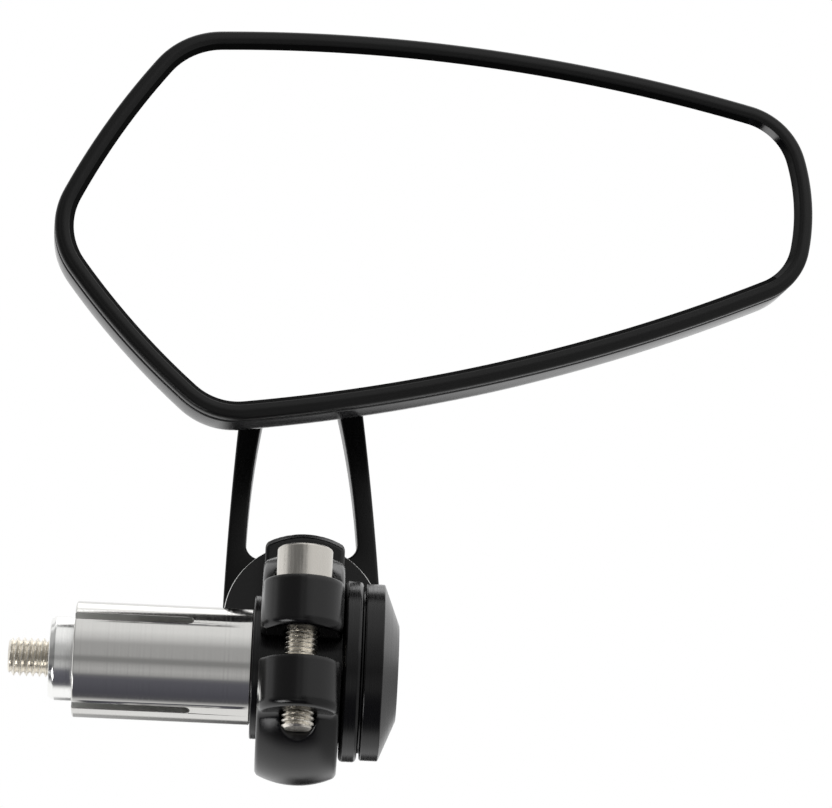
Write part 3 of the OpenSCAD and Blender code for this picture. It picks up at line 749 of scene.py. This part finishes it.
def make_bezel():
    lip_start = rim_w - lip_w
    face_from, face_to = crest_r, lip_start - crest_r / 2
    section = [(groove_in, seam_y), (groove_in, groove_y)]
    section += [(seam_r * (1 - math.sin(a)), groove_y - seam_r * (1 - math.cos(a))) for a in quarter(4)]
    section += [(crest_r * (1 - math.cos(a)), crest_r * (1 - math.sin(a)) - head_front) for a in quarter(10)]
    for k in range(1, crown_steps):
        across = k / crown_steps
        rise = crown_h * 4 * across * (1 - across)
        section.append((face_from + (face_to - face_from) * across, -head_front - rise))
    section += [
        (lip_start - crest_r / 2 * (1 - math.cos(a)), crest_r / 2 * (1 - math.sin(a)) - head_front)
        for a in reversed(quarter(6)[2:])
    ]
    lip = len(section) - 1
    section += [(rim_w, glass_y), (rim_w - glass_lap, glass_y), (rim_w - glass_lap, seam_y)]
    shape = bmesh.new()
    strip(shape, [head_ring(0, inset, depth) for inset, depth in section], closed=True)
    shape.faces.ensure_lookup_table()
    # The lip is made darker than the rim: its ring of faces takes a deep black, glossy at the last corner
    for face in shape.faces[lip * len(rim_line):(lip + 1) * len(rim_line)]:
        middle = face.calc_center_median()
        wiped = middle.x > wiped_from[0] and middle.z > wiped_from[1]
        face.material_index = wiped_slot if wiped else dark_lip_slot
    return placed_mesh(shape, "bezel_fine", head_at)


def make_housing():
    def deeper(ring, share):
        """The shell is deeper towards its outboard end; share is 1 at the wall's back edge."""
        ring[:, 1] += share * side_more * np.clip((ring[:, 0] - deeper_from) / deeper_over, 0, 1)
        return ring

    def dome_ring(a, inset, back):
        """A ring of the dome, at the angle a of its section. back is the depth of its deepest point."""
        depth = wall_y + (back - wall_y) * math.sin(a)
        return deeper(head_ring(1 - math.cos(a), inset, depth), 1 - math.sin(a))

    wall_in = shell_step + side_draft
    turns = quarter(24)[1:]
    inner = [head_ring(0, shell_step + shell_t, seam_y), deeper(head_ring(0, wall_in + shell_t, wall_y), 1)]
    inner += [dome_ring(a, wall_in + shell_t, dome_back - shell_t) for a in turns[2::3]]
    outer = [dome_ring(a, wall_in, dome_back) for a in reversed(turns)]
    outer += [deeper(head_ring(0, wall_in, wall_y), 1)]
    outer += [
        head_ring(0, shell_step + seam_r * (1 - math.cos(a)), seam_y + seam_r * (1 - math.sin(a)))
        for a in quarter(4)
    ]
    shape = bmesh.new()
    strip(shape, inner + outer, closed=True)
    return placed_mesh(shape, "housing_fine", head_at)


rim = stand_in(make_bezel(), "bezel")
# The lip's deeper black than the rim, matt and glossy
rim.data.materials.append(plastics["dark_lip"])
rim.data.materials.append(plastics["wiped"])
stand_in(make_housing(), "housing")

# %% [markdown]
# ## The arm
# A flat plate with a tall window, a hole for the stud and a counterbore for the pivot screw. It is built from
# its lines: each line becomes a wall with rounded ends, and the front and back are filled between the lines.

# %% The arm
pivot_at = pin_at["arm_pivot"]
ball_at = pin_at["mirror_roll"]
arm_len = math.hypot(ball_at[0] - pivot_at[0], ball_at[2] - pivot_at[2])
arm_lean = math.atan2(pivot_at[0] - ball_at[0], ball_at[2] - pivot_at[2])
arm_low, arm_high = (corner.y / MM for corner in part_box("arm_fork"))
arm_round = 0.45
foot_r, arm_top_r, arm_side_r = 12.7, 7.3, 600
window_low, window_half_low, window_low_r = 10.5, 8.9, 2.4
window_half_top, window_top_r, window_top_gap = 5.0, 4.4, 11.5
window_side_r, window_flat_r = 150, 400
pivot_hole_r, stud_hole_r, counterbore_r = 3.05, 3.05, 5.3
counterbore_deep = 4.2
hole_break = 0.15


def arm_line(inset):
    ends = [(0, 0), (0, arm_len)]
    return outline(ends, [foot_r, arm_top_r], [arm_side_r, arm_side_r], inset, corner_steps=72)


def window_line(inset):
    top = arm_len - window_top_gap - window_top_r
    low = window_low + window_low_r
    side_low, side_top = window_half_low - window_low_r, window_half_top - window_top_r
    corners = [(-side_low, low), (-side_top, top), (side_top, top), (side_low, low)]
    radii = [window_low_r, window_top_r, window_top_r, window_low_r]
    sides = [window_side_r, window_flat_r, window_side_r, window_flat_r]
    return outline(corners, radii, sides, inset, corner_steps=20, edge_steps=24)


def rounded_wall(line, sign, radius):
    """Rings of a wall from the arm's front to its back. sign is 1 on an outside and -1 in an opening."""
    turns = [(sign * radius * (1 - math.sin(a)), radius * (1 - math.cos(a))) for a in quarter(5)]
    front = [at_depth(line(inset), arm_low + deep) for inset, deep in turns]
    back = [at_depth(line(inset), arm_high - deep) for inset, deep in reversed(turns)]
    return front + back


def make_arm():
    stud_line = lambda inset: circle((0, arm_len), stud_hole_r - inset)
    pivot_line = lambda inset: circle((0, 0), pivot_hole_r - inset)
    bore_line = lambda inset: circle((0, 0), counterbore_r - inset)
    seat = arm_high - counterbore_deep
    walls = [
        rounded_wall(arm_line, 1, arm_round), rounded_wall(window_line, -1, arm_round),
        rounded_wall(stud_line, -1, hole_break),
        [at_depth(pivot_line(0), arm_low), at_depth(pivot_line(0), seat), at_depth(bore_line(0), seat),
         at_depth(bore_line(0), arm_high - hole_break), at_depth(bore_line(-hole_break), arm_high)],
    ]
    shape = bmesh.new()
    ends = [[], []]
    for rings in walls:
        rows = strip(shape, rings)
        for side, row in zip(ends, (rows[0], rows[-1])):
            side += [shape.edges.get((row[k - 1], row[k])) for k in range(len(row))]
    for side in ends:
        bmesh.ops.triangle_fill(shape, edges=side, use_beauty=True)
    place = Matrix.Translation((pivot_at[0], 0, pivot_at[2])) @ Matrix.Rotation(-arm_lean, 4, "Y")
    return placed_mesh(shape, "arm_fork_fine", place)


stand_in(make_arm(), "arm_fork")

# %% [markdown]
# ## The clamp, as a rounded solid
# The clamp is a casting that was machined: a crowned ring, two ears, a boss, then cuts. Every corner where
# two of them meet has a small round, and these rounds catch the light. Bevels fail where so many curved faces
# meet, so the clamp is written as a distance: how far a point lies from the surface. Rounded unions and
# cuts are then one line each, and a skin of small quads is laid over the places where the distance is zero.

# %% The clamp, as a rounded solid
def join(a, b, r):
    """Distance to the union of two shapes, with a fillet of radius r where they meet."""
    corner = np.hypot(np.maximum(r - a, 0), np.maximum(r - b, 0))
    return np.maximum(r, np.minimum(a, b)) - corner


def common(a, b, r):
    """Distance to what two shapes have in common, with edges rounded by r."""
    corner = np.hypot(np.maximum(r + a, 0), np.maximum(r + b, 0))
    return np.minimum(-r, np.maximum(a, b)) + corner


def cut_out(a, b, r):
    """Distance to shape a without shape b."""
    return common(a, -b, r)


clamp_low, clamp_high = (np.array(corner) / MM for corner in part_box("clamp_ring"))
screw_low, screw_high = (np.array(corner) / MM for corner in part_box("clamp_screw"))
clamp_w = clamp_high[0] - clamp_low[0]
clamp_x = (clamp_high[0] + clamp_low[0]) / 2
ring_r = -clamp_low[2]
boss_back = clamp_high[1]
boss_up = pivot_at[2]
boss_r = clamp_high[2] - boss_up
screw_y = (screw_low[1] + screw_high[1]) / 2
screw_head_h = 5.3
ear_h = screw_high[2] - screw_head_h
crown_r = 13.5
bore_r = 11.2
slit_w = 4.6
boss_front = 8.0
spot_r = 4.9
scallop_r = 2.8
screw_hole_r, screw_thread_r = 2.75, 2.55
pivot_thread_r, pivot_tip = 3.05, 7.6
edge_round, ear_foot, fillet, hole_round = 0.55, 1.2, 0.8, 0.22
boss_fillet, boss_chamfer = 3.5, 0.8
skin_step = 0.28


def clamp_distance(x, y, z):
    """Distance from the clamp's surface, in millimetres, with x measured from its middle."""
    half = clamp_w / 2
    out = np.hypot(y, z)
    side = np.abs(x) - half
    ring = np.hypot(out - (ring_r - crown_r), x) - crown_r
    ahead = np.minimum(y - screw_y, 0)
    ear = common(np.where(ahead < 0, np.hypot(x, ahead) - half, side), z - ear_h, edge_round)
    ear = common(ear, -z - ear_h, ear_foot)
    ear = np.maximum(ear, y)
    boss = np.hypot(x, z - boss_up) - boss_r
    slant = (boss + boss_front - y + boss_chamfer) * math.sqrt(0.5)
    boss = np.maximum(np.maximum(boss, boss_front - y), slant)
    body = common(join(join(ring, ear, fillet), boss, boss_fillet), side, edge_round)
    body = common(body, y - boss_back, edge_round)
    body = cut_out(body, out - bore_r, edge_round / 2)
    about = np.hypot(x, y - screw_y)
    body = cut_out(body, np.maximum(about - spot_r, ear_h - z), hole_round)
    body = cut_out(body, np.maximum(about - scallop_r, z + ear_h), hole_round)
    body = cut_out(body, np.maximum(np.abs(z) - slit_w / 2, y), np.where(z > 0, ear_foot, hole_round * 1.5))
    body = cut_out(body, about - np.where(z > 0, screw_hole_r, screw_thread_r), hole_round / 2)
    pivot_hole = np.maximum(np.hypot(x, z - boss_up) - pivot_thread_r, pivot_tip - y)
    return cut_out(body, pivot_hole, hole_round / 2)


def skin_of(distance, low, high, step):
    """Lays quads where the distance is zero: a point in each crossed cell, a quad on each crossed edge."""
    probe = step / 8
    least_slope = 0.5
    passes = 3
    axes = [np.arange(a - 2 * step, b + 2 * step, step) for a, b in zip(low, high)]
    field = distance(*np.meshgrid(*axes, indexing="ij"))
    inside = field < 0
    cells = tuple(n - 1 for n in field.shape)
    corners = [(i, j, k) for i in (0, 1) for j in (0, 1) for k in (0, 1)]
    take = lambda grid, c: grid[tuple(slice(o, o + n) for o, n in zip(c, cells))]
    count = sum(take(inside, c).astype(int) for c in corners)
    crossed = np.argwhere((count > 0) & (count < 8))
    number = np.full(cells, -1)
    number[tuple(crossed.T)] = np.arange(len(crossed))
    total, hits = np.zeros((len(crossed), 3)), np.zeros((len(crossed), 1))
    for a in corners:
        for axis in range(3):
            if a[axis]:
                continue
            b = tuple(1 if n == axis else v for n, v in enumerate(a))
            fa, fb = (field[tuple((crossed + c).T)] for c in (a, b))
            hit = (fa < 0) != (fb < 0)
            share = np.where(hit, fa / np.where(hit, fa - fb, 1), 0)
            point = np.array(a) + share[:, None] * (np.array(b) - np.array(a))
            total += np.where(hit[:, None], point, 0)
            hits += hit[:, None]
    points = (crossed + total / hits) * step + np.array([axis[0] for axis in axes])
    for _ in range(passes):
        here = distance(*points.T)
        slope = np.stack([
            (distance(*(points + move).T) - distance(*(points - move).T)) / (2 * probe)
            for move in np.eye(3) * probe
        ], axis=1)
        size = np.maximum((slope ** 2).sum(axis=1), least_slope ** 2)
        points -= np.clip(here / size, -step, step)[:, None] * slope
    quads = []
    for axis in range(3):
        u, v = np.eye(3, dtype=int)[(axis + 1) % 3], np.eye(3, dtype=int)[(axis + 2) % 3]
        first, second = np.moveaxis(inside, axis, 0)[:-1], np.moveaxis(inside, axis, 0)[1:]
        flips = np.argwhere(np.moveaxis(first != second, 0, axis))
        starts = inside[tuple(flips.T)]
        around = np.stack([number[tuple((flips - o).T)] for o in (0 * u, u, u + v, v)], axis=1)
        quads.append(np.where(starts[:, None], around, around[:, ::-1]))
    return points, np.concatenate(quads)


def make_clamp():
    middle = np.array([clamp_x, 0, 0])
    points, quads = skin_of(clamp_distance, clamp_low - middle, clamp_high - middle, skin_step)
    mesh = bpy.data.meshes.new("clamp_ring_fine")
    mesh.from_pydata(((points + middle) * MM).tolist(), [], quads.tolist())
    mesh.validate()
    return mesh


stand_in(make_clamp(), "clamp_ring")

# %% [markdown]
# ## Threads with Geometry Nodes
# A screw thread is a ridge that climbs by one pitch a turn. It could be a curve with a swept profile, but a
# closed cylinder whose points are drawn in by a wave is simpler and always watertight: the wave depends on
# the height minus the angle, and that alone makes it a helix. The node tree takes its sizes as inputs, so
# that the same tree makes both the long bolt and the clamp screw.

# %% Threads with Geometry Nodes
thread_sides = 48
rows_a_turn = 12.0
crest_end, root_start = 0.12, 0.88
run_out = 0.6
head_break = 0.3
thread_slot = 1


def thread_tree():
    """Node tree of a threaded shank along Z, from 0 down to -Length."""
    tree = bpy.data.node_groups.new("threaded_shank", "GeometryNodeTree")
    sizes = {"Radius": 3.0, "Depth": 0.6, "Pitch": 1.0, "Length": 20.0, "Plain": 2.0}
    for name, value in sizes.items():
        socket = tree.interface.new_socket(name, in_out="INPUT", socket_type="NodeSocketFloat")
        socket.default_value = value
    tree.interface.new_socket("Material", in_out="INPUT", socket_type="NodeSocketMaterial")
    tree.interface.new_socket("Geometry", in_out="OUTPUT", socket_type="NodeSocketGeometry")
    given = add(tree, "NodeGroupInput").outputs

    def maths(operation, *values):
        return calculate(tree, operation, *values)

    length, pitch = given["Length"], given["Pitch"]
    rows = maths("CEIL", maths("MULTIPLY", maths("DIVIDE", length, pitch), rows_a_turn))
    rows = add(tree, "FunctionNodeFloatToInt", {0: rows}).outputs[0]
    rod = add(tree, "GeometryNodeMeshCylinder", {
        "Vertices": thread_sides, "Side Segments": rows, "Radius": given["Radius"], "Depth": length,
    }, fill_type="TRIANGLE_FAN")
    point = add(tree, "GeometryNodeInputPosition").outputs[0]
    parts = add(tree, "ShaderNodeSeparateXYZ", {0: point}).outputs
    share = maths("DIVIDE", maths("ARCTAN2", parts[1], parts[0]), 2 * math.pi)
    down = maths("SUBTRACT", maths("DIVIDE", length, 2.0), parts[2])
    turns = maths("SUBTRACT", maths("DIVIDE", down, pitch), share)
    wave = maths("MULTIPLY", maths("PINGPONG", turns, 0.5), 2.0)
    flank = spread(tree, wave, crest_end, root_start)
    started = spread(tree, maths("SUBTRACT", down, given["Plain"]), 0.0, run_out)
    cut = maths("MULTIPLY", maths("MULTIPLY", flank, started), given["Depth"])
    core = maths("SUBTRACT", given["Radius"], given["Depth"])
    lead_in = maths("ADD", core, maths("SUBTRACT", length, down))
    radius = maths("MINIMUM", maths("SUBTRACT", given["Radius"], cut), lead_in)
    flat = add(tree, "ShaderNodeCombineXYZ", {0: parts[0], 1: parts[1]}).outputs[0]
    ray = add(tree, "ShaderNodeVectorMath", {0: flat}, operation="NORMALIZE").outputs[0]
    out = add(tree, "ShaderNodeVectorMath", {0: ray, "Scale": radius}, operation="SCALE").outputs[0]
    high = add(tree, "ShaderNodeCombineXYZ", {2: maths("MULTIPLY", down, -1.0)}).outputs[0]
    goal = add(tree, "ShaderNodeVectorMath", {0: out, 1: high}, operation="ADD").outputs[0]
    cut_rod = add(tree, "GeometryNodeSetPosition", {"Geometry": rod.outputs["Mesh"], "Position": goal})
    real = add(tree, "GeometryNodeRealizeInstances", {0: cut_rod.outputs[0]})
    coated = add(tree, "GeometryNodeSetMaterial", {
        "Geometry": real.outputs[0], "Material": given["Material"]})
    add(tree, "NodeGroupOutput", {0: coated.outputs[0]})
    return tree


shank_tree = thread_tree()
print("thread tree nodes:", len(shank_tree.nodes))


def threaded_shank(sizes, material):
    """A plain mesh of a threaded shank, in millimetres, hanging below z = 0."""
    carrier = bpy.data.objects.new("shank", bpy.data.meshes.new("shank"))
    bpy.context.scene.collection.objects.link(carrier)
    made = carrier.modifiers.new("thread", "NODES")
    made.node_group = shank_tree
    for item in shank_tree.interface.items_tree:
        if item.in_out == "INPUT":
            made[item.identifier] = material if item.name == "Material" else sizes[item.name]
    return plain_mesh(carrier)


def screw_mesh(node, seat, along, reach, sizes):
    """A screw: its head is the solid's own, cut off at its seat, and its shank is threaded."""
    shape = merged_copy(node)
    geometry = list(shape.verts) + list(shape.edges) + list(shape.faces)
    bmesh.ops.bisect_plane(shape, geom=geometry, plane_co=seat * MM, plane_no=along, clear_inner=True)
    bmesh.ops.holes_fill(shape, edges=[edge for edge in shape.edges if edge.is_boundary])
    head = with_broken_edges(shape, node + "_head", head_break)
    shank = threaded_shank({"Length": reach, **sizes}, metals["thread_steel"])
    shank.polygons.foreach_set("material_index", [thread_slot] * len(shank.polygons))
    turn = along.to_track_quat("Z", "X").to_matrix().to_4x4()
    shank.transform(Matrix.Translation(seat * MM) @ turn @ Matrix.Scale(MM, 4))
    both = bmesh.new()
    both.from_mesh(head)
    both.from_mesh(shank)
    bmesh.ops.remove_doubles(both, verts=both.verts, dist=same_point)
    mesh = bpy.data.meshes.new(node + "_fine")
    both.to_mesh(mesh)
    both.free()
    for finish in (finish_of[node], metals["thread_steel"]):
        mesh.materials.append(finish)
    return mesh


clamp_seat = Vector((clamp_x, screw_y, ear_h))
clamp_thread = {"Radius": 2.5, "Depth": 0.49, "Pitch": 0.8, "Plain": 6.0}
clamp_screw = screw_mesh("clamp_screw", clamp_seat, Vector((0, 0, 1)), ear_h - screw_low[2], clamp_thread)
stand_in(clamp_screw, "clamp_screw")

bolt_low, bolt_high = (np.array(corner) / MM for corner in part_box("expander_bolt"))
bolt_head_h = 3.8
bolt_seat = Vector((bolt_high[0] - bolt_head_h, 0, 0))
bolt_thread = {"Radius": 3.0, "Depth": 0.61, "Pitch": 1.0, "Plain": 24.0}
bolt = screw_mesh("expander_bolt", bolt_seat, Vector((1, 0, 0)), bolt_seat.x - bolt_low[0], bolt_thread)
stand_in(bolt, "expander_bolt")

# %% [markdown]
# ## Floor
# The part floats in front of white in the photograph. A sheet of paper lies 25 centimetres under it and sends
# some light up. A grey sheet would show an edge against the white room, so the paper glows a little for the
# camera alone. It still keeps the shadow that the part throws.

# %% Floor
floor_z = -0.25
floor_half = 3.0
paper_glow = 0.30
floor_mesh = bpy.data.meshes.new("floor")
floor_corners = [(floor_half * x, floor_half * y, floor_z) for x, y in ((-1, -1), (1, -1), (1, 1), (-1, 1))]
floor_mesh.from_pydata(floor_corners, [], [(0, 1, 2, 3)])
paper, paper_tree, paper_shader, _ = new_finish("studio_paper", "#f2f2f2", 0.0, 0.9)
seen_by = add(paper_tree, "ShaderNodeLightPath").outputs["Is Camera Ray"]
glow = calculate(paper_tree, "MULTIPLY", seen_by, paper_glow)
paper_tree.links.new(glow, paper_shader.inputs["Emission Strength"])
floor_mesh.materials.append(paper)
floor = bpy.data.objects.new("floor", floor_mesh)
bpy.context.scene.collection.objects.link(floor)
floor.visible_glossy = False
print("floor at", floor_z)
